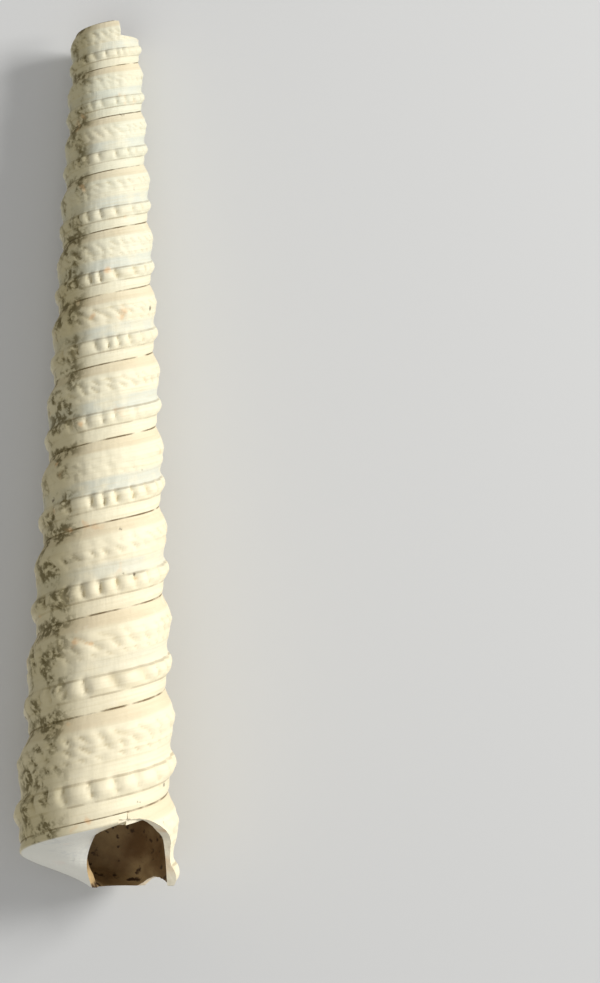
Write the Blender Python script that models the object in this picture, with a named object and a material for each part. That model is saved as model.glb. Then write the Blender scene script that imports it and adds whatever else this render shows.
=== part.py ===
"""A fossil turret shell, tall and many-whorled, lying on its side with its mouth up.

The shell is built about its own axis, with every whorl a larger copy of the one before, and is
then laid down. Reach is the distance along the axis from the point where the whorls would
shrink to nothing. Turns count growth: turn 0 is where the last suture faces straight up, and
the turns before it are negative. Height runs down a whorl, from 0 at its upper suture to 1 at
its lower one.
"""

from math import atan2, floor, log, radians, tau

import bmesh
import bpy
from mathutils import Matrix, Vector

MM = 0.001

# Growth of the spiral
WHORL_GROWTH = 1.0845
WIDTH_EXPONENT = 0.976
WIDTH_REACH = 100.0 * MM
LAST_SUTURE_REACH = 99.47 * MM
STEPS_PER_TURN = 36

# The stretch of spiral that is left
TOP_TURN = -11.5
MOUTH_TURN = -3 / STEPS_PER_TURN

# Whorl side: height on the whorl, and radius where the reach is 100 mm
WHORL_SIDE = (
    (0.0, 5.385 * MM),
    (0.085, 5.62 * MM),
    (0.15, 5.88 * MM),
    (0.265, 6.13 * MM),
    (0.43, 5.89 * MM),
    (0.575, 5.65 * MM),
    (0.665, 6.0 * MM),
    (0.745, 6.09 * MM),
    (0.835, 5.63 * MM),
    (1.0, 5.385 * MM),
)
BEAD_BAND = (0.64, 0.77)
BEAD_HOLLOW = 0.97

# Base below the last whorl and top of the first one, each from the suture in to the axis
BASE_SIDE = (
    (0.0, 5.385 * MM),
    (0.07, 5.35 * MM),
    (0.10, 4.6 * MM),
    (0.13, 3.2 * MM),
    (0.15, 1.6 * MM),
    (0.155, 0.0),
)
TOP_SIDE = (
    (0.0, 5.385 * MM),
    (0.02, 4.4 * MM),
    (0.06, 2.2 * MM),
    (0.07, 0.0),
)

# Hollow of the whorl in section, and the turns along which it is open
LUMEN_SIDE = (
    (0.19, 0.5 * MM),
    (0.175, 1.6 * MM),
    (0.155, 3.2 * MM),
    (0.145, 4.3 * MM),
    (0.25, 5.1 * MM),
    (0.55, 5.2 * MM),
    (0.83, 5.15 * MM),
    (0.97, 4.85 * MM),
    (1.04, 3.9 * MM),
    (1.085, 2.4 * MM),
    (1.1, 1.2 * MM),
    (1.03, 0.5 * MM),
)
MOUTH_LUMEN = (-1.25, -0.05)
TOP_LUMEN = (-11.55, -10.6)

# Broken lip: turn, and height on the whorl below which the wall is gone
LIP_BREAK = (
    (-0.425, 1.35),
    (-0.390, 1.02),
    (-0.355, 0.89),
    (-0.225, 0.80),
    (-0.213, 0.62),
    (-0.205, 0.40),
    (-0.175, 0.27),
    (-0.136, 0.17),
    (-0.111, 0.13),
    (-0.060, 0.10),
)
LIP_CUT_BOTTOM = 1.7
LIP_CUT_INNER = 0.7 * MM
LIP_CUT_SHOULDERS = (5.15 * MM, 5.05 * MM)
LIP_CUT_CEILING = 0.21
CUT_RADIUS = 9.0 * MM

# Broken base, pit left by the lost end of the columella, and broken top
BASE_REACH = 104.6 * MM
PIT_REACH = 100.6 * MM
PIT_RADIUS = 0.55 * MM
TOP_REACH = 40.6 * MM
LOW_TOP_REACH = 41.7 * MM
LOW_TOP_ANGLES = (28.0, 104.0, 180.0)
CRATER_REACH = 42.2 * MM
CRATER_RADIUS = 1.3 * MM
CRATER_SHIFT = -0.3 * MM
OVERCUT = 3.0 * MM

# Slight bow of the axis, and how the shell lies
BOW = 0.25 * MM
BOW_REACH = 71.6 * MM
BOW_SPAN = 29.4 * MM
LIE_TILT = radians(3.46)
WORN_DEPTH = 0.15 * MM

WELD = 0.01 * MM
FINE_WELD = 0.0001 * MM
TURN_SLACK = 0.001


def place(turn, height, radius):
    """A point of the shell about its own axis, mouth towards +Z and top towards +Y."""
    reach = LAST_SUTURE_REACH * WHORL_GROWTH**turn * (1 + (WHORL_GROWTH - 1) * height)
    wide = radius * (reach / WIDTH_REACH) ** WIDTH_EXPONENT
    return Matrix.Rotation(-tau * turn, 3, "Y") @ Vector((0, -reach, wide))


def spiral_place(point):
    """The turn and the height on the whorl of a point on the shell's side."""
    around = -atan2(point.x, point.z) / tau
    grown = log(-point.y / LAST_SUTURE_REACH) / log(WHORL_GROWTH)
    turn = around + floor(grown - around + TURN_SLACK)
    height = (WHORL_GROWTH ** (grown - turn) - 1) / (WHORL_GROWTH - 1)
    return turn, height


def line(mesh, points, closed=False):
    """The edges through a row of points."""
    verts = [mesh.verts.new(point) for point in points]
    edges = [mesh.edges.new(pair) for pair in zip(verts, verts[1:])]
    if closed:
        edges.append(mesh.edges.new((verts[-1], verts[0])))
    return edges


def grow(mesh, side, first_turn, turns, closed=False):
    """Sweeps a section along the spiral, turned and enlarged at each step."""
    edges = line(mesh, [place(first_turn, *corner) for corner in side], closed)
    steps = round(turns * STEPS_PER_TURN)
    turned = Matrix.Rotation(-tau / STEPS_PER_TURN, 3, "Y")
    longer = WHORL_GROWTH ** (1 / STEPS_PER_TURN)
    wider = longer**WIDTH_EXPONENT
    for _ in range(steps):
        made = bmesh.ops.extrude_edge_only(mesh, edges=edges)["geom"]
        verts = [item for item in made if isinstance(item, bmesh.types.BMVert)]
        edges = [item for item in made if isinstance(item, bmesh.types.BMEdge)]
        edges = [edge for edge in edges if all(vert in verts for vert in edge.verts)]
        bmesh.ops.rotate(mesh, cent=(0, 0, 0), matrix=turned, verts=verts)
        bmesh.ops.scale(mesh, vec=(wider, longer, wider), verts=verts)


def close(mesh, weld=WELD):
    """Welds the seams, fills what is still open and points the faces out."""
    bmesh.ops.remove_doubles(mesh, verts=mesh.verts[:], dist=weld)
    rims = [edge for edge in mesh.edges if edge.is_boundary]
    bmesh.ops.holes_fill(mesh, edges=rims, sides=0)
    bmesh.ops.recalc_face_normals(mesh, faces=mesh.faces[:])


def add_object(mesh, name):
    data = bpy.data.meshes.new(name)
    mesh.to_mesh(data)
    mesh.free()
    made = bpy.data.objects.new(name, data)
    bpy.context.scene.collection.objects.link(made)
    return made


def cut(body, mesh, name):
    """Takes a closed mesh away from a body."""
    tool = add_object(mesh, name)
    tool.hide_render = True
    tool.display_type = "WIRE"
    modifier = body.modifiers.new(name, "BOOLEAN")
    modifier.operation = "DIFFERENCE"
    modifier.solver = "EXACT"
    modifier.object = tool


def filled_shell():
    """The outside of the shell: whorl sides with their beads, base and top."""
    mesh = bmesh.new()
    grow(mesh, WHORL_SIDE, TOP_TURN, MOUTH_TURN - TOP_TURN)
    hollows = []
    for vert in mesh.verts:
        turn, height = spiral_place(vert.co)
        step = round((turn - TOP_TURN) * STEPS_PER_TURN)
        if BEAD_BAND[0] < height < BEAD_BAND[1] and step % 2:
            hollows.append(vert)
    bmesh.ops.scale(mesh, vec=(BEAD_HOLLOW, 1, BEAD_HOLLOW), verts=hollows)
    grow(mesh, BASE_SIDE, MOUTH_TURN, 1)
    grow(mesh, TOP_SIDE, TOP_TURN, 1)
    close(mesh)
    for reach, outward in ((TOP_REACH, 1), (BASE_REACH, -1)):
        bmesh.ops.bisect_plane(
            mesh,
            geom=mesh.verts[:] + mesh.edges[:] + mesh.faces[:],
            plane_co=(0, -reach, 0),
            plane_no=(0, outward, 0),
            clear_outer=True,
        )
        close(mesh)
    return add_object(mesh, "shell")


def lumen(turns):
    """The hollow of the whorl between two turns."""
    mesh = bmesh.new()
    grow(mesh, LUMEN_SIDE, turns[0], turns[1] - turns[0], closed=True)
    close(mesh)
    return mesh


def lip_break():
    """What has broken off the last whorl, below the ragged edge of its wall."""
    mesh = bmesh.new()
    before = None
    for turn, height in LIP_BREAK:
        inside = max(height, LIP_CUT_CEILING)
        corners = (
            (height, CUT_RADIUS),
            (height, LIP_CUT_SHOULDERS[0]),
            (inside, LIP_CUT_SHOULDERS[1]),
            (inside, LIP_CUT_INNER),
            (LIP_CUT_BOTTOM, LIP_CUT_INNER),
            (LIP_CUT_BOTTOM, CUT_RADIUS),
        )
        ring = line(mesh, [place(turn, *corner) for corner in corners], closed=True)
        if before:
            bmesh.ops.bridge_loops(mesh, edges=before + ring)
        before = ring
    close(mesh)
    return mesh


def plug(radius, first_reach, last_reach, shift):
    """A round plug along the axis."""
    mesh = bmesh.new()
    bmesh.ops.create_cone(
        mesh,
        cap_ends=True,
        segments=16,
        radius1=radius,
        radius2=radius,
        depth=last_reach - first_reach,
        matrix=Matrix.Translation((0, -(first_reach + last_reach) / 2, shift))
        @ Matrix.Rotation(radians(90), 4, "X"),
    )
    return mesh


def low_top():
    """The wedge that is gone from one side of the top."""
    mesh = bmesh.new()
    middle = Vector((0, -LOW_TOP_REACH, 0))
    corners = [middle]
    for angle in LOW_TOP_ANGLES:
        arm = Matrix.Rotation(radians(angle), 3, "Y") @ Vector((0, 0, CUT_RADIUS))
        corners.append(middle + arm)
    face = bmesh.ops.contextual_create(mesh, geom=line(mesh, corners, closed=True))["faces"]
    made = bmesh.ops.extrude_face_region(mesh, geom=face)["geom"]
    verts = [item for item in made if isinstance(item, bmesh.types.BMVert)]
    bmesh.ops.translate(mesh, vec=(0, LOW_TOP_REACH - TOP_REACH + OVERCUT, 0), verts=verts)
    close(mesh)
    return mesh


def laid_down(body):
    """Bows the cut shell a little, lays it on its side and wears its lowest beads flat."""
    bpy.context.view_layer.update()
    evaluated = body.evaluated_get(bpy.context.evaluated_depsgraph_get())
    mesh = bmesh.new()
    mesh.from_mesh(evaluated.to_mesh())
    evaluated.to_mesh_clear()
    body.modifiers.clear()
    for vert in mesh.verts:
        vert.co.x -= BOW * ((-vert.co.y - BOW_REACH) / BOW_SPAN) ** 2
    bmesh.ops.rotate(mesh, matrix=Matrix.Rotation(-LIE_TILT, 3, "X"), verts=mesh.verts[:])
    places = [vert.co for vert in mesh.verts]
    low = [min(place[axis] for place in places) for axis in range(3)]
    high = [max(place[axis] for place in places) for axis in range(3)]
    drop = (-(low[0] + high[0]) / 2, -(low[1] + high[1]) / 2, -low[2] - WORN_DEPTH)
    bmesh.ops.translate(mesh, vec=drop, verts=mesh.verts[:])
    bmesh.ops.bisect_plane(
        mesh,
        geom=mesh.verts[:] + mesh.edges[:] + mesh.faces[:],
        plane_co=(0, 0, 0),
        plane_no=(0, 0, -1),
        clear_outer=True,
    )
    close(mesh, FINE_WELD)
    mesh.to_mesh(body.data)
    mesh.free()


def fossil_calcite():
    """Chalky cream shell, dull and not metallic."""
    made = bpy.data.materials.new("fossil_calcite")
    made.use_nodes = True
    shader = made.node_tree.nodes["Principled BSDF"]
    shader.inputs["Base Color"].default_value = (0.79, 0.73, 0.56, 1)
    shader.inputs["Roughness"].default_value = 0.75
    shader.inputs["Metallic"].default_value = 0.0
    return made


def main():
    for old in list(bpy.data.objects):
        bpy.data.objects.remove(old)
    shell = filled_shell()
    cut(shell, lumen(MOUTH_LUMEN), "mouth_hollow")
    cut(shell, lip_break(), "lip_break")
    cut(shell, plug(PIT_RADIUS, PIT_REACH, BASE_REACH + OVERCUT, 0), "columella_pit")
    cut(shell, lumen(TOP_LUMEN), "top_hollow")
    cut(shell, low_top(), "low_top")
    crater = plug(CRATER_RADIUS, TOP_REACH - OVERCUT, CRATER_REACH, CRATER_SHIFT)
    cut(shell, crater, "top_crater")
    laid_down(shell)
    shell.data.materials.append(fossil_calcite())
    shell.data.shade_flat()


main()
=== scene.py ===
"""The fossil turret shell's looks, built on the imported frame: whorls, beads, broken mouth and top."""

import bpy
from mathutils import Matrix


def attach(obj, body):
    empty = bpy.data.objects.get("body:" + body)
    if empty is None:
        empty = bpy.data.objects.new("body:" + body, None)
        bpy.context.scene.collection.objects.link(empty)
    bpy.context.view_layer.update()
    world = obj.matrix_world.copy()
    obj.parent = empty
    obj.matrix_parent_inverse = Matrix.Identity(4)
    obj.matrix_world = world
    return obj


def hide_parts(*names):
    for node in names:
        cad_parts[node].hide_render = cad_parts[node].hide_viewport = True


bl_info = {
    "name": "Fossil turret shell",
    "version": (1, 0, 0),
    "blender": (4, 5, 0),
    "location": "View3D > Sidebar > Turret shell",
    "description": "Builds a beaded fossil turret shell lying on a pale floor",
    "category": "Add Mesh",
}

from math import cos, floor, radians, sin, tau

import bmesh
import bpy
from bpy.props import FloatProperty, FloatVectorProperty, IntProperty, PointerProperty
from mathutils import Matrix, Vector, noise

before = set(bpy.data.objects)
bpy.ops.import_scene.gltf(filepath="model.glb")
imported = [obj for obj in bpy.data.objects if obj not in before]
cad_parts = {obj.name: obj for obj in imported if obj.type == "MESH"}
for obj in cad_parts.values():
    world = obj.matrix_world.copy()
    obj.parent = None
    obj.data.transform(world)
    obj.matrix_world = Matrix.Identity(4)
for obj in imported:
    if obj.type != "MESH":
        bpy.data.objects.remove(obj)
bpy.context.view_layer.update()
MM = 0.001

# Growth of the spiral, as in the frame
WHORL_GROWTH = 1.0845
WIDTH_EXPONENT = 0.976
WIDTH_REACH = 100.0 * MM
LAST_SUTURE_REACH = 99.47 * MM
TOP_TURN = -11.5
MOUTH_TURN = -0.08

# Whorl side: height on the whorl, and radius in mm where the reach is 100 mm
WHORL_SIDE = (
    (0.0, 5.34),
    (0.03, 5.44),
    (0.085, 5.62),
    (0.125, 5.80),
    (0.15, 5.88),
    (0.20, 6.02),
    (0.265, 6.14),
    (0.315, 6.04),
    (0.36, 5.95),
    (0.40, 5.93),
    (0.445, 5.85),
    (0.49, 5.73),
    (0.575, 5.65),
    (0.62, 5.75),
    (0.655, 5.97),
    (0.71, 6.09),
    (0.755, 6.06),
    (0.80, 5.86),
    (0.835, 5.61),
    (0.86, 5.55),
    (0.945, 5.50),
    (0.98, 5.42),
    (1.0, 5.34),
)

# Base below the last whorl and top of the first one, each from the suture in to the axis
BASE_SIDE = (
    (0.0, 5.34),
    (0.05, 5.40),
    (0.075, 5.30),
    (0.10, 4.6),
    (0.13, 3.2),
    (0.15, 1.6),
    (0.155, 0.0),
)
TOP_SIDE = (
    (0.0, 5.34),
    (0.02, 4.4),
    (0.06, 2.2),
    (0.07, 0.0),
)
BASE_ROWS = 22
TOP_ROWS = 6

# Bead rows: middle height, half width, beads in a turn, depth of the gaps in mm, slant
BEAD_ROWS = (
    (0.715, 0.085, 21.0, 0.50, 0.10),
    (0.235, 0.050, 25.0, 0.28, 0.22),
    (0.330, 0.045, 25.0, 0.24, 0.22),
    (0.425, 0.030, 31.0, 0.14, 0.20),
)
BEAD_FADE = 1.3
BEAD_ONSET = 2.2
BEAD_GAP_POWER = 2.6
FINER_BEADS = 0.7

# How growth lines bulge, in turns, and the height at which they bulge most
GROWTH_BULGE = 0.03
BULGE_MIDDLE = 0.45

# Noise: how many times a turn, and how much. Beads move by shares of a bead, relief is in mm.
NOISE_SEED = 11.3
BEAD_DRIFT = (5.0, 0.9)
BEAD_JITTER = (0.8, 0.35)
WEAR_SLOW = (1.7, 0.9)
WEAR_FAST = (9.0, 0.25)
WEAR_MIDDLE = 0.77
WEAR_RANGE = (0.12, 1.0)
GROWTH_SCARS = (26.0, 0.14)
SCAR_HEIGHT = 0.36
SCAR_SPAN = 0.3
GROWTH_LINES = (60.0, 0.05)
UNEVENNESS = (14.0, 0.06)
SEAM_CALM = 0.05

# Hollow of the whorl in section, in mm where the reach is 100 mm
THIN_ROOF = ((0.19, 0.5), (0.175, 1.6), (0.155, 3.2), (0.125, 4.3), (0.115, 4.95), (0.20, 5.2))
THICK_ROOF = ((0.19, 0.5), (0.175, 1.6), (0.155, 3.2), (0.145, 4.3), (0.25, 5.2))
LUMEN_FLOOR = (
    (0.55, 5.33),
    (0.83, 5.25),
    (0.97, 4.95),
    (1.04, 3.9),
    (1.085, 2.4),
    (1.1, 1.2),
    (1.03, 0.5),
)
MOUTH_LUMEN = (-1.25, -0.05)
TOP_LUMEN = (-11.55, -10.6)
LUMEN_STEPS = 72
LUMEN_ROWS_A_CORNER = 3
LUMEN_UNEVENNESS = (9.0, 0.05)

# Broken lip: turn, and height on the whorl below which the wall is gone
LIP_BREAK = (
    (-0.425, 1.35),
    (-0.390, 1.02),
    (-0.355, 0.89),
    (-0.225, 0.80),
    (-0.213, 0.62),
    (-0.205, 0.40),
    (-0.175, 0.27),
    (-0.136, 0.14),
    (-0.111, 0.09),
    (-0.060, 0.045),
)
LIP_RINGS = 64
LIP_RAGGED = (120.0, 0.012)
LIP_CUT_BOTTOM = 1.7
LIP_CUT_INNER = 0.7
LIP_CUT_SHOULDERS = (5.25, 5.15)
LIP_CUT_CEILING = 0.115
CUT_RADIUS = 9.0

# Broken base and top
BASE_REACH = 104.6 * MM
PIT_REACH = 100.6 * MM
PIT_RADIUS = 0.55 * MM
TOP_REACH = 40.6 * MM
LOW_TOP_REACH = 41.7 * MM
LOW_TOP_ANGLES = (28.0, 104.0, 180.0)
CRATER_REACH = 42.2 * MM
CRATER_RADIUS = 1.3 * MM
CRATER_SHIFT = -0.3 * MM
OVERCUT = 3.0 * MM
PLUG_SIDES = 28

# Bow of the axis, and how the shell lies
BOW = 0.25 * MM
BOW_REACH = 71.6 * MM
BOW_SPAN = 29.4 * MM
LIE_TILT = radians(3.46)
WORN_DEPTH = 0.15 * MM
WELD = 0.002 * MM
FINE_WELD = 0.0001 * MM
SHARP_ANGLE = radians(50)

PATTERN = "whorl"
HOLLOW = "hollow"


def curve_through(points, where):
    """A smooth value through a row of (place, value) points."""
    places = [point[0] for point in points]
    if where <= places[0]:
        return points[0][1]
    if where >= places[-1]:
        return points[-1][1]
    after = next(index for index, place in enumerate(places) if place > where)
    low, high = points[after - 1], points[after]
    share = (where - low[0]) / (high[0] - low[0])
    before = points[max(after - 2, 0)]
    beyond = points[min(after + 1, len(points) - 1)]
    rise_low = (high[1] - before[1]) / (high[0] - before[0]) * (high[0] - low[0])
    rise_high = (beyond[1] - low[1]) / (beyond[0] - low[0]) * (high[0] - low[0])
    square, cube = share * share, share**3
    return (
        low[1] * (2 * cube - 3 * square + 1)
        + rise_low * (cube - 2 * square + share)
        + high[1] * (3 * square - 2 * cube)
        + rise_high * (cube - square)
    )


def place(turn, height, radius_mm):
    """A point of the shell about its own axis, mouth towards +Z and top towards +Y."""
    reach = LAST_SUTURE_REACH * WHORL_GROWTH**turn * (1 + (WHORL_GROWTH - 1) * height)
    wide = radius_mm * MM * (reach / WIDTH_REACH) ** WIDTH_EXPONENT
    angle = -tau * turn
    return Vector((wide * sin(angle), -reach, wide * cos(angle)))


def rough(x, y=0.0, z=0.0):
    """Smooth noise between about -1 and 1."""
    return noise.noise(Vector((x + NOISE_SEED, y, z)))


def bead_gap(turn, height):
    """How far, in mm, the side falls back, and how deep in a gap between beads it is."""
    bulge = GROWTH_BULGE * (1 - ((height - BULGE_MIDDLE) / BULGE_MIDDLE) ** 2)
    fall = 0.0
    gap = 0.0
    for row, (middle, half, count, depth, slant) in enumerate(BEAD_ROWS):
        near = 1 - abs(height - middle) / (half * BEAD_FADE)
        if near <= 0:
            continue
        phase = (turn + bulge * (row > 0)) * count + slant * (height - middle) / half
        phase += BEAD_DRIFT[1] * rough(turn * BEAD_DRIFT[0], row * 3.7)
        phase += BEAD_JITTER[1] * rough(turn * count * BEAD_JITTER[0], row * 9.1)
        share = phase - floor(phase)
        hollow = abs(2 * share - 1) ** BEAD_GAP_POWER
        worn = WEAR_MIDDLE + WEAR_SLOW[1] * rough(turn * WEAR_SLOW[0], 5.0 + row * 2.9, 1.0)
        worn += WEAR_FAST[1] * rough(turn * WEAR_FAST[0], row * 4.4, 3.0)
        worn = min(WEAR_RANGE[1], max(WEAR_RANGE[0], worn))
        strength = min(1.0, near * BEAD_ONSET) * worn
        finer = 1 + FINER_BEADS * max(0.0, rough(turn * 2.3, row * 7.1))
        fall += depth * hollow * strength / finer
        gap = max(gap, hollow * strength)
    scarred = max(0.0, 1 - abs(height - SCAR_HEIGHT) / SCAR_SPAN)
    grown = turn + bulge
    fall += GROWTH_SCARS[1] * scarred * rough(grown * GROWTH_SCARS[0], 2.0, height * 1.5)
    lines = GROWTH_LINES[1] * (0.4 + 0.6 * scarred)
    fall += lines * rough(grown * GROWTH_LINES[0], 8.0, height * 2.0)
    fall += UNEVENNESS[1] * rough(turn * UNEVENNESS[0], height * 6.0, 4.0)
    return fall, gap


def sheet(mesh, turns, steps, rows, point, pattern):
    """A grid of turns by rows, moved onto the shell, with its turn and height kept as its UV map."""
    uv_map = mesh.loops.layers.uv.get(PATTERN) or mesh.loops.layers.uv.new(PATTERN)
    layer = mesh.verts.layers.float.get(HOLLOW) or mesh.verts.layers.float.new(HOLLOW)
    made = bmesh.ops.create_grid(mesh, x_segments=steps, y_segments=rows, size=0.5)["verts"]
    seats = {}
    for vert in made:
        step = round((vert.co.x + 0.5) * steps)
        row = round((vert.co.y + 0.5) * rows)
        turn = turns[0] + (turns[1] - turns[0]) * step / steps
        seats[vert] = (turn, row / rows)
        vert.co, vert[layer] = point(turn, row / rows)
    for face in {face for vert in made for face in vert.link_faces}:
        for loop in face.loops:
            loop[uv_map].uv = pattern(*seats[loop.vert])
    return made


def close(mesh, weld=WELD):
    """Welds the seams, fills what is still open and points the faces out."""
    bmesh.ops.remove_doubles(mesh, verts=mesh.verts[:], dist=weld)
    rims = [edge for edge in mesh.edges if edge.is_boundary]
    bmesh.ops.holes_fill(mesh, edges=rims, sides=0)
    bmesh.ops.recalc_face_normals(mesh, faces=mesh.faces[:])


def add_object(mesh, name, material):
    """A new object from a mesh, with one material."""
    data = bpy.data.meshes.new(name)
    mesh.to_mesh(data)
    mesh.free()
    made = bpy.data.objects.new(name, data)
    data.materials.append(material)
    bpy.context.scene.collection.objects.link(made)
    return made


def closed_line(mesh, points):
    """The edges round a ring of points."""
    verts = [mesh.verts.new(point) for point in points]
    return [mesh.edges.new(pair) for pair in zip(verts, verts[1:] + verts[:1])]


def side_point(turn, share):
    """A point of the whorl's side, beads and growth lines included."""
    fall, gap = bead_gap(turn, share)
    edge = min(1.0, min(share, 1 - share) / SEAM_CALM)
    radius = curve_through(WHORL_SIDE, share) - fall * edge
    return place(turn, share, radius), gap * edge


def flat_part(side):
    """Points of a base or top, from its suture in to the axis."""
    heights = [(index, corner[0]) for index, corner in enumerate(side)]
    radii = [(index, corner[1]) for index, corner in enumerate(side)]

    def point(turn, share):
        spot = share * (len(side) - 1)
        radius = max(0.0, curve_through(radii, spot))
        return place(turn, curve_through(heights, spot), radius), 0.0

    return point


def level_off(mesh, reach, outward):
    """Takes away what lies past a reach along the axis."""
    bmesh.ops.bisect_plane(
        mesh,
        geom=mesh.verts[:] + mesh.edges[:] + mesh.faces[:],
        plane_co=(0, -reach, 0),
        plane_no=(0, outward, 0),
        clear_outer=True,
    )


def base_pattern(turn, share):
    return (turn - 1, 1 + share)


def side_pattern(turn, share):
    return (turn, share)


def top_pattern(turn, share):
    return (turn, -share)


def filled_shell(steps_per_turn, side_rows, material):
    """The outside of the shell with nothing broken off yet."""
    mesh = bmesh.new()
    steps = round((MOUTH_TURN - TOP_TURN) * steps_per_turn)
    first = MOUTH_TURN - steps / steps_per_turn
    sheet(mesh, (first, MOUTH_TURN), steps, side_rows, side_point, side_pattern)
    end = (MOUTH_TURN, MOUTH_TURN + 1)
    sheet(mesh, end, steps_per_turn, BASE_ROWS, flat_part(BASE_SIDE), base_pattern)
    sheet(mesh, (first, first + 1), steps_per_turn, TOP_ROWS, flat_part(TOP_SIDE), top_pattern)
    close(mesh)
    for reach, outward in ((TOP_REACH, 1), (BASE_REACH, -1)):
        level_off(mesh, reach, outward)
        close(mesh)
    return add_object(mesh, "turret_shell", material)


def lumen(turns, roof):
    """The hollow of the whorl between two turns."""
    mesh = bmesh.new()
    side = roof + LUMEN_FLOOR
    corners = len(side)
    loop = side + side[:1]
    heights = [(index, corner[0]) for index, corner in enumerate(loop)]
    radii = [(index, corner[1]) for index, corner in enumerate(loop)]

    def point(turn, share):
        spot = share * corners
        radius = curve_through(radii, spot)
        radius += LUMEN_UNEVENNESS[1] * rough(turn * LUMEN_UNEVENNESS[0], share * 5.0, 6.0)
        return place(turn, curve_through(heights, spot % corners), radius), 0.0

    steps = round((turns[1] - turns[0]) * LUMEN_STEPS)
    sheet(mesh, turns, steps, corners * LUMEN_ROWS_A_CORNER, point, side_pattern)
    close(mesh)
    return mesh


def lip_break():
    """What has broken off the last whorl, below the ragged edge of its wall."""
    mesh = bmesh.new()
    before = None
    first, last = LIP_BREAK[0][0], LIP_BREAK[-1][0]
    for ring_index in range(LIP_RINGS + 1):
        turn = first + (last - first) * ring_index / LIP_RINGS
        height = curve_through(LIP_BREAK, turn) + LIP_RAGGED[1] * rough(turn * LIP_RAGGED[0], 1.0)
        inside = max(height, LIP_CUT_CEILING)
        corners = (
            (height, CUT_RADIUS),
            (height, LIP_CUT_SHOULDERS[0]),
            (inside, LIP_CUT_SHOULDERS[1]),
            (inside, LIP_CUT_INNER),
            (LIP_CUT_BOTTOM, LIP_CUT_INNER),
            (LIP_CUT_BOTTOM, CUT_RADIUS),
        )
        ring = closed_line(mesh, [place(turn, *corner) for corner in corners])
        if before:
            bmesh.ops.bridge_loops(mesh, edges=before + ring)
        before = ring
    close(mesh)
    return mesh


def plug(radius, first_reach, last_reach, shift):
    """A round plug along the axis."""
    mesh = bmesh.new()
    turned = Matrix.Rotation(radians(90), 4, "X")
    middle = Matrix.Translation((0, -(first_reach + last_reach) / 2, shift))
    bmesh.ops.create_cone(
        mesh,
        cap_ends=True,
        segments=PLUG_SIDES,
        radius1=radius,
        radius2=radius,
        depth=last_reach - first_reach,
        matrix=middle @ turned,
    )
    return mesh


def low_top():
    """The wedge that is gone from one side of the top."""
    mesh = bmesh.new()
    middle = Vector((0, -LOW_TOP_REACH, 0))
    corners = [middle]
    for angle in LOW_TOP_ANGLES:
        arm = Matrix.Rotation(radians(angle), 3, "Y") @ Vector((0, 0, CUT_RADIUS * MM))
        corners.append(middle + arm)
    face = bmesh.ops.contextual_create(mesh, geom=closed_line(mesh, corners))["faces"]
    made = bmesh.ops.extrude_face_region(mesh, geom=face)["geom"]
    verts = [item for item in made if isinstance(item, bmesh.types.BMVert)]
    bmesh.ops.translate(mesh, vec=(0, LOW_TOP_REACH - TOP_REACH + OVERCUT, 0), verts=verts)
    close(mesh)
    return mesh


def cut(body, mesh, name, material):
    """Takes a closed mesh away from a body; the cut faces get the material."""
    tool = add_object(mesh, name, material)
    modifier = body.modifiers.new(name, "BOOLEAN")
    modifier.operation = "DIFFERENCE"
    modifier.solver = "EXACT"
    modifier.material_mode = "TRANSFER"
    modifier.object = tool
    return tool


def laid_down(body, tools):
    """Applies the cuts, bows the shell a little, lays it down and wears its lowest beads flat."""
    bpy.context.view_layer.update()
    evaluated = body.evaluated_get(bpy.context.evaluated_depsgraph_get())
    data = bpy.data.meshes.new_from_object(evaluated)
    body.modifiers.clear()
    for tool in tools:
        bpy.data.objects.remove(tool)
    mesh = bmesh.new()
    mesh.from_mesh(data)
    level_off(mesh, TOP_REACH, 1)
    for vert in mesh.verts:
        vert.co.x -= BOW * ((-vert.co.y - BOW_REACH) / BOW_SPAN) ** 2
    bmesh.ops.rotate(mesh, matrix=Matrix.Rotation(-LIE_TILT, 3, "X"), verts=mesh.verts[:])
    places = [vert.co for vert in mesh.verts]
    low = [min(spot[axis] for spot in places) for axis in range(3)]
    high = [max(spot[axis] for spot in places) for axis in range(3)]
    drop = (-(low[0] + high[0]) / 2, -(low[1] + high[1]) / 2, -low[2] - WORN_DEPTH)
    bmesh.ops.translate(mesh, vec=drop, verts=mesh.verts[:])
    bmesh.ops.bisect_plane(
        mesh,
        geom=mesh.verts[:] + mesh.edges[:] + mesh.faces[:],
        plane_co=(0, 0, 0),
        plane_no=(0, 0, -1),
        clear_outer=True,
    )
    close(mesh, FINE_WELD)
    mesh.to_mesh(data)
    mesh.free()
    body.data = data
    data.shade_smooth()
    data.set_sharp_from_angle(angle=SHARP_ANGLE)


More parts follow.
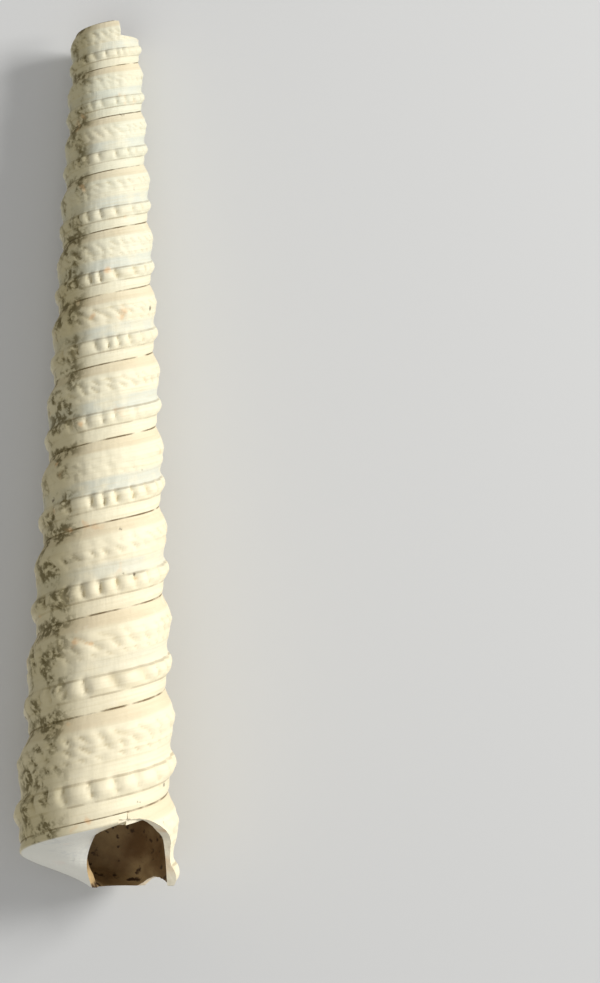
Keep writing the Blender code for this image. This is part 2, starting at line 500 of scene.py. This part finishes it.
class Value:
    """A node's output socket; arithmetic on it adds Math nodes."""

    def __init__(self, nodes, socket):
        self.nodes = nodes
        self.socket = socket

    def math(self, operation, *values):
        return self.nodes.add("ShaderNodeMath", {"operation": operation}, dict(enumerate(values)))

    def __add__(self, other):
        return self.math("ADD", self, other)

    __radd__ = __add__

    def __mul__(self, other):
        return self.math("MULTIPLY", self, other)

    __rmul__ = __mul__

    def __sub__(self, other):
        return self.math("SUBTRACT", self, other)

    def __rsub__(self, other):
        return self.math("SUBTRACT", other, self)

    def part(self):
        """The part after the decimal point."""
        return self.math("FRACT", self)

    def size(self):
        """The value without its sign."""
        return self.math("ABSOLUTE", self)

    def from_whole(self):
        """How far the value is from the nearest whole number."""
        return self.math("PINGPONG", self, 0.5)

    def between(self, low, high):
        """0 at low and 1 at high, held outside them."""
        settings = {"interpolation_type": "SMOOTHSTEP"}
        values = {"Value": self, "From Min": low, "From Max": high}
        return self.nodes.add("ShaderNodeMapRange", settings, values)

    def band(self, low, high, soft):
        """1 between low and high, fading to 0 over soft on either side."""
        return self.between(low - soft, low + soft) * (1 - self.between(high - soft, high + soft))


class Nodes:
    """The nodes of one material."""

    def __init__(self, name):
        self.material = bpy.data.materials.new(name)
        self.material.use_nodes = True
        self.tree = self.material.node_tree
        self.shader = self.tree.nodes["Principled BSDF"]

    def add(self, kind, settings=None, values=None, output=0):
        """Adds a node, with its settings first and then its sockets' values or links."""
        node = self.tree.nodes.new(kind)
        for name, setting in (settings or {}).items():
            setattr(node, name, setting)
        for name, value in (values or {}).items():
            self.feed(node.inputs[name], value)
        return Value(self, node.outputs[output])

    def feed(self, socket, value):
        """Gives a socket a value, or links it."""
        if isinstance(value, Value):
            self.tree.links.new(value.socket, socket)
        else:
            socket.default_value = value

    def noise(self, where, scale, detail=3.0):
        """Smooth noise from 0 to 1, mostly near 0.5."""
        values = {"Vector": where, "Scale": scale, "Detail": detail}
        return self.add("ShaderNodeTexNoise", None, values)

    def mix(self, share, first, second):
        """A colour between two colours."""
        values = {0: share, 6: first, 7: second}
        return self.add("ShaderNodeMix", {"data_type": "RGBA"}, values, 2)

    def raise_by(self, relief, depth, strength):
        """Bumps the surface by a relief of the given depth."""
        values = {"Height": relief, "Distance": depth, "Strength": strength}
        self.feed(self.shader.inputs["Normal"], self.add("ShaderNodeBump", None, values))


def srgb(red, green, blue):
    """A colour given in the 0 to 255 of a screen, as the shader's own."""
    parts = [value / 255 for value in (red, green, blue)]
    parts = [part / 12.92 if part <= 0.04045 else ((part + 0.055) / 1.055) ** 2.4 for part in parts]
    return (*parts, 1.0)


# How many noise cells there are in a metre
CLOUDS = 160.0
MOTTLE = 620.0
GRAIN = 3200.0
DIRT_PATCHES = 640.0
DIRT_SPECKS = 2400.0
ORANGE_SPOTS = 480.0
PITS = 420.0

# Stretches of the whorl by height, and of the way round, in turns from the mouth's side
TAN_BAND = (0.0, 0.135)
BLUE_BAND = (0.46, 0.655)
LOWER_RIM = 0.835
UPPER_RIM = 0.635
DIRTY_SIDE = (0.80, 0.93)
FILMY_SHADED_SIDE = (0.78, 0.94)
WHITENED_HEIGHT = (1.30, 1.38)
BARE_SIDE = (0.02, 0.40)
THREADS_PER_WHORL = 24.0
RELIEF_DEPTH = 0.07 * MM


def drawn_out(nodes, scale, uv):
    """Noise drawn out along the whorls or down them."""
    stretched = nodes.add("ShaderNodeMapping", None, {0: uv, "Scale": scale})
    return nodes.noise(stretched, 1.0, 3.0)


def worn_calcite(sizes):
    """The outside: cream calcite with tan, bluish and dirty stretches that follow the whorls, with
    painted shade in the bead gaps, in the grooves beside the lower beads and down one side.
    """
    nodes = Nodes("fossil_calcite")
    here = nodes.add("ShaderNodeTexCoord", output=3)
    along = nodes.add("ShaderNodeSeparateXYZ", None, {0: here}, 1)
    uv = nodes.add("ShaderNodeUVMap", {"uv_map": PATTERN})
    turn = nodes.add("ShaderNodeSeparateXYZ", None, {0: uv}, 0)
    height = nodes.add("ShaderNodeSeparateXYZ", None, {0: uv}, 1)
    gap = nodes.add("ShaderNodeAttribute", {"attribute_name": HOLLOW}, output=2)
    clouds = nodes.noise(here, CLOUDS)
    mottle = nodes.noise(here, MOTTLE, 4.0)
    grain = nodes.noise(here, GRAIN)
    specks = nodes.noise(here, DIRT_SPECKS, 4.0)
    streaks = drawn_out(nodes, (6.0, 30.0, 1.0), uv)

    # Cream, greyer towards the top, with tan and bluish bands, and painted shade darkening the gaps
    # between beads
    colour = nodes.mix(along.between(-0.012, 0.030), tuple(sizes.lower), tuple(sizes.upper))
    colour = nodes.mix(clouds.between(0.35, 0.7) * 0.5, colour, srgb(226, 214, 182))
    tan = height.band(*TAN_BAND, 0.02) * (0.30 + 0.35 * clouds)
    colour = nodes.mix(tan, colour, srgb(214, 194, 158))
    blue = height.band(*BLUE_BAND, 0.03) * mottle.between(0.25, 0.6) * along.between(-0.024, 0.0)
    colour = nodes.mix(blue * 0.65, colour, srgb(198, 203, 192))
    colour = nodes.mix(streaks.between(0.45, 0.8) * 0.35, colour, srgb(205, 190, 150))
    # Painted shade: a darker tan in the gaps between beads, where shade falls
    colour = nodes.mix(gap.between(0.15, 1.0) * 0.45, colour, srgb(190, 172, 128))
    colour = nodes.mix(mottle.between(0.62, 0.8) * 0.3, colour, srgb(246, 240, 220))

    # Thin dark lines at the sutures, and painted shade in the grooves beside the lower beads
    lower_rim_shade = (height - LOWER_RIM).size().between(0.016, 0.004) * mottle.between(0.3, 0.6) * 0.45
    upper_rim_shade = (height - UPPER_RIM).size().between(0.02, 0.005) * mottle.between(0.25, 0.6) * 0.5
    # Painted shade: the grooves on either side of the lower bead row are darkened
    colour = nodes.mix(lower_rim_shade + upper_rim_shade, colour, srgb(150, 130, 95))
    to_suture = height.from_whole()
    suture_line = to_suture.between(0.012, 0.003) * mottle.between(0.30, 0.60)
    colour = nodes.mix(suture_line * 0.9, colour, srgb(112, 86, 46))

    # Dirt down one side, thickest at the sutures and in the gaps, over an olive film that is partly
    # dirt and partly painted shade on the side turned from the key light
    facing = (turn * -1.0).part()
    patches = nodes.noise(here, DIRT_PATCHES, 6.0)
    near_suture = 1 - to_suture.between(0.02, 0.13)
    patches = (patches + 0.12 * near_suture + 0.10 * gap).between(0.46, 0.60)
    dirt = facing.band(*DIRTY_SIDE, 0.035) * patches * specks.between(0.38, 0.56)
    # Painted shade mixed with a real dirt film: a broad olive darkening of the side away from the key
    # light
    film_and_side_shade = facing.band(*FILMY_SHADED_SIDE, 0.05) * (0.40 + 0.5 * clouds)
    colour = nodes.mix(film_and_side_shade, colour, srgb(164, 150, 98))
    colour = nodes.mix(dirt * sizes.dirt, colour, srgb(88, 76, 30))

    # Orange spots, small dark pits and the whitened base
    orange = nodes.noise(here, ORANGE_SPOTS, 2.0).between(0.64, 0.72) * mottle.between(0.4, 0.6)
    colour = nodes.mix(orange * 0.55, colour, srgb(228, 176, 118))
    pits = nodes.add("ShaderNodeTexVoronoi", None, {"Vector": here, "Scale": PITS})
    pit = (1 - pits.between(0.05, 0.11)) * specks.between(0.5, 0.6)
    colour = nodes.mix(pit * 0.8, colour, srgb(74, 60, 36))
    whitened = height.between(*WHITENED_HEIGHT) * (1 - facing.band(*BARE_SIDE, 0.02))
    colour = nodes.mix(whitened * 0.8, colour, srgb(240, 240, 232))
    nodes.feed(nodes.shader.inputs["Base Color"], colour)
    nodes.feed(nodes.shader.inputs["Roughness"], 0.50 + 0.25 * mottle + 0.2 * dirt)

    # Fine relief: spiral threads, growth lines, grain, and grooves at the lines and pits
    threads = (height * THREADS_PER_WHORL).from_whole()
    growth = drawn_out(nodes, (70.0, 2.5, 1.0), uv)
    relief = 0.28 * threads + 0.55 * growth + 0.30 * grain + 0.35 * mottle - 0.8 * pit
    relief = relief - 1.2 * suture_line - 0.5 * lower_rim_shade - 0.5 * upper_rim_shade
    nodes.raise_by(relief, RELIEF_DEPTH, 0.75)
    return nodes.material


def stained_hollow():
    """The inside: tan and brown, with dark crumbs of dirt."""
    nodes = Nodes("stained_hollow")
    here = nodes.add("ShaderNodeTexCoord", output=3)
    clouds = nodes.noise(here, 260.0, 4.0)
    lumps = nodes.noise(here, 1300.0, 4.0)
    colour = nodes.mix(clouds.between(0.3, 0.65), srgb(196, 166, 116), srgb(120, 88, 48))
    colour = nodes.mix(lumps.between(0.56, 0.66), colour, srgb(74, 50, 22))
    nodes.feed(nodes.shader.inputs["Base Color"], colour)
    nodes.feed(nodes.shader.inputs["Roughness"], 0.7)
    nodes.raise_by(lumps + 0.5 * clouds, 0.15 * MM, 0.7)
    return nodes.material


def broken_calcite():
    """Broken edges: pale, chalky, with a warm stain here and there."""
    nodes = Nodes("broken_calcite")
    here = nodes.add("ShaderNodeTexCoord", output=3)
    clouds = nodes.noise(here, 420.0, 4.0)
    grain = nodes.noise(here, 2600.0)
    colour = nodes.mix(clouds.between(0.45, 0.75), srgb(238, 229, 204), srgb(222, 186, 140))
    nodes.feed(nodes.shader.inputs["Base Color"], colour)
    nodes.feed(nodes.shader.inputs["Roughness"], 0.75)
    nodes.raise_by(grain + 0.6 * clouds, 0.08 * MM, 0.7)
    return nodes.material


class TurretShellSizes(bpy.types.PropertyGroup):
    """What a user would change on the shell."""

    steps_per_turn: IntProperty(
        name="Steps per turn", description="Mesh steps round one whorl", default=150, min=36, max=220
    )
    side_rows: IntProperty(
        name="Rows per whorl", description="Mesh rows down one whorl", default=44, min=12, max=60
    )
    lower: FloatVectorProperty(
        name="Lower whorls", description="Colour near the mouth", subtype="COLOR", size=4,
        default=srgb(240, 230, 198), min=0, max=1,
    )
    upper: FloatVectorProperty(
        name="Upper whorls", description="Colour near the top", subtype="COLOR", size=4,
        default=srgb(216, 214, 190), min=0, max=1,
    )
    dirt: FloatProperty(
        name="Dirt", description="How dark the dirt is", default=0.85, min=0, max=1, subtype="FACTOR"
    )


class StageSizes(bpy.types.PropertyGroup):
    """What a user would change on the floor, lights and camera."""

    floor_colour: FloatVectorProperty(
        name="Floor", description="Colour of the floor", subtype="COLOR", size=4,
        default=(0.62, 0.62, 0.61, 1.0), min=0, max=1,
    )
    key_power: FloatProperty(
        name="Key light", description="Power of the main light", default=1.65, min=0, unit="POWER"
    )
    lens: FloatProperty(
        name="Lens", description="Focal length of the camera in mm", default=119.5, min=20
    )
    distance: FloatProperty(
        name="Distance", description="Camera above the shell's middle", default=0.24, unit="LENGTH"
    )


class SHELL_OT_shell(bpy.types.Operator):
    """Builds the shell and puts it in the CAD node's place"""

    bl_idname = "turret.shell"
    bl_label = "Shell"

    def execute(self, context):
        sizes = context.scene.turret_shell
        inside = stained_hollow()
        broken = broken_calcite()
        shell = filled_shell(sizes.steps_per_turn, sizes.side_rows, worn_calcite(sizes))
        crater = plug(CRATER_RADIUS, TOP_REACH - OVERCUT, CRATER_REACH, CRATER_SHIFT)
        pit = plug(PIT_RADIUS, PIT_REACH, BASE_REACH + OVERCUT, 0)
        tools = [
            cut(shell, lumen(MOUTH_LUMEN, THIN_ROOF), "mouth_hollow", inside),
            cut(shell, lip_break(), "lip_break", broken),
            cut(shell, pit, "columella_pit", inside),
            cut(shell, lumen(TOP_LUMEN, THICK_ROOF), "top_hollow", inside),
            cut(shell, low_top(), "low_top", broken),
            cut(shell, crater, "top_crater", broken),
        ]
        laid_down(shell, tools)
        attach(shell, "root")
        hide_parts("shell")
        return {"FINISHED"}


# The stage, in metres
FLOOR_SIZE = 0.6
FLOOR_ROUGHNESS = 0.9
KEY_LIGHT = (0.34, 0.12, 0.20)
KEY_SIZE = 0.14
FILL_LIGHT = (-0.10, -0.25, 0.55)
FILL_SIZE = 0.50
FILL_SHARE = 0.30
SKY_STRENGTH = 0.42
NEAR_CLIP = 0.01
VIEW_MIDDLE = (14.7 * MM, -2.55 * MM, 6.0 * MM)
VIEW_LEAN = radians(0.6)
SENSOR = 36.0


def area_light(name, size, power, spot):
    """A square light aimed at the shell."""
    data = bpy.data.lights.new(name, "AREA")
    data.size = size
    data.energy = power
    light = bpy.data.objects.new(name, data)
    light.location = spot
    light.rotation_euler = (-Vector(spot)).to_track_quat("-Z", "Y").to_euler()
    bpy.context.scene.collection.objects.link(light)


class SHELL_OT_stage(bpy.types.Operator):
    """Adds the floor, the lights and the camera"""

    bl_idname = "turret.stage"
    bl_label = "Stage"

    def execute(self, context):
        sizes = context.scene.turret_stage
        mesh = bmesh.new()
        bmesh.ops.create_grid(mesh, x_segments=1, y_segments=1, size=FLOOR_SIZE)
        nodes = Nodes("pale_floor")
        nodes.shader.inputs["Base Color"].default_value = sizes.floor_colour
        nodes.shader.inputs["Roughness"].default_value = FLOOR_ROUGHNESS
        floor_object = add_object(mesh, "floor", nodes.material)
        area_light("key", KEY_SIZE, sizes.key_power, KEY_LIGHT)
        area_light("fill", FILL_SIZE, sizes.key_power * FILL_SHARE, FILL_LIGHT)
        world = bpy.data.worlds.new("studio")
        world.use_nodes = True
        back = world.node_tree.nodes["Background"]
        back.inputs["Color"].default_value = (1.0, 1.0, 1.0, 1.0)
        back.inputs["Strength"].default_value = SKY_STRENGTH
        context.scene.world = world
        data = bpy.data.cameras.new("camera")
        data.lens = sizes.lens
        data.sensor_width = SENSOR
        data.clip_start = NEAR_CLIP
        data.dof.use_dof = False
        camera = bpy.data.objects.new("camera", data)
        camera.location = Vector(VIEW_MIDDLE) + Vector((0, 0, sizes.distance))
        camera.rotation_euler = (0, 0, VIEW_LEAN)
        context.scene.collection.objects.link(camera)
        context.scene.camera = camera
        context.scene.view_settings.view_transform = "Standard"
        return {"FINISHED"}


class SHELL_PT_panel(bpy.types.Panel):
    """Lists the shell's steps in the sidebar"""

    bl_idname = "SHELL_PT_panel"
    bl_label = "Turret shell"
    bl_space_type = "VIEW_3D"
    bl_region_type = "UI"
    bl_category = "Turret shell"

    def draw(self, context):
        for group in (context.scene.turret_shell, context.scene.turret_stage):
            for name in group.__annotations__:
                self.layout.prop(group, name)
        for step in STEPS:
            self.layout.operator(step.bl_idname)


STEPS = (SHELL_OT_shell, SHELL_OT_stage)
CLASSES = (TurretShellSizes, StageSizes, *STEPS, SHELL_PT_panel)


def register():
    for made in CLASSES:
        bpy.utils.register_class(made)
    bpy.types.Scene.turret_shell = PointerProperty(type=TurretShellSizes)
    bpy.types.Scene.turret_stage = PointerProperty(type=StageSizes)


def unregister():
    del bpy.types.Scene.turret_stage
    del bpy.types.Scene.turret_shell
    for made in reversed(CLASSES):
        bpy.utils.unregister_class(made)


def main():
    register()
    bpy.ops.turret.shell()
    bpy.ops.turret.stage()


if __name__ == "__main__":
    main()
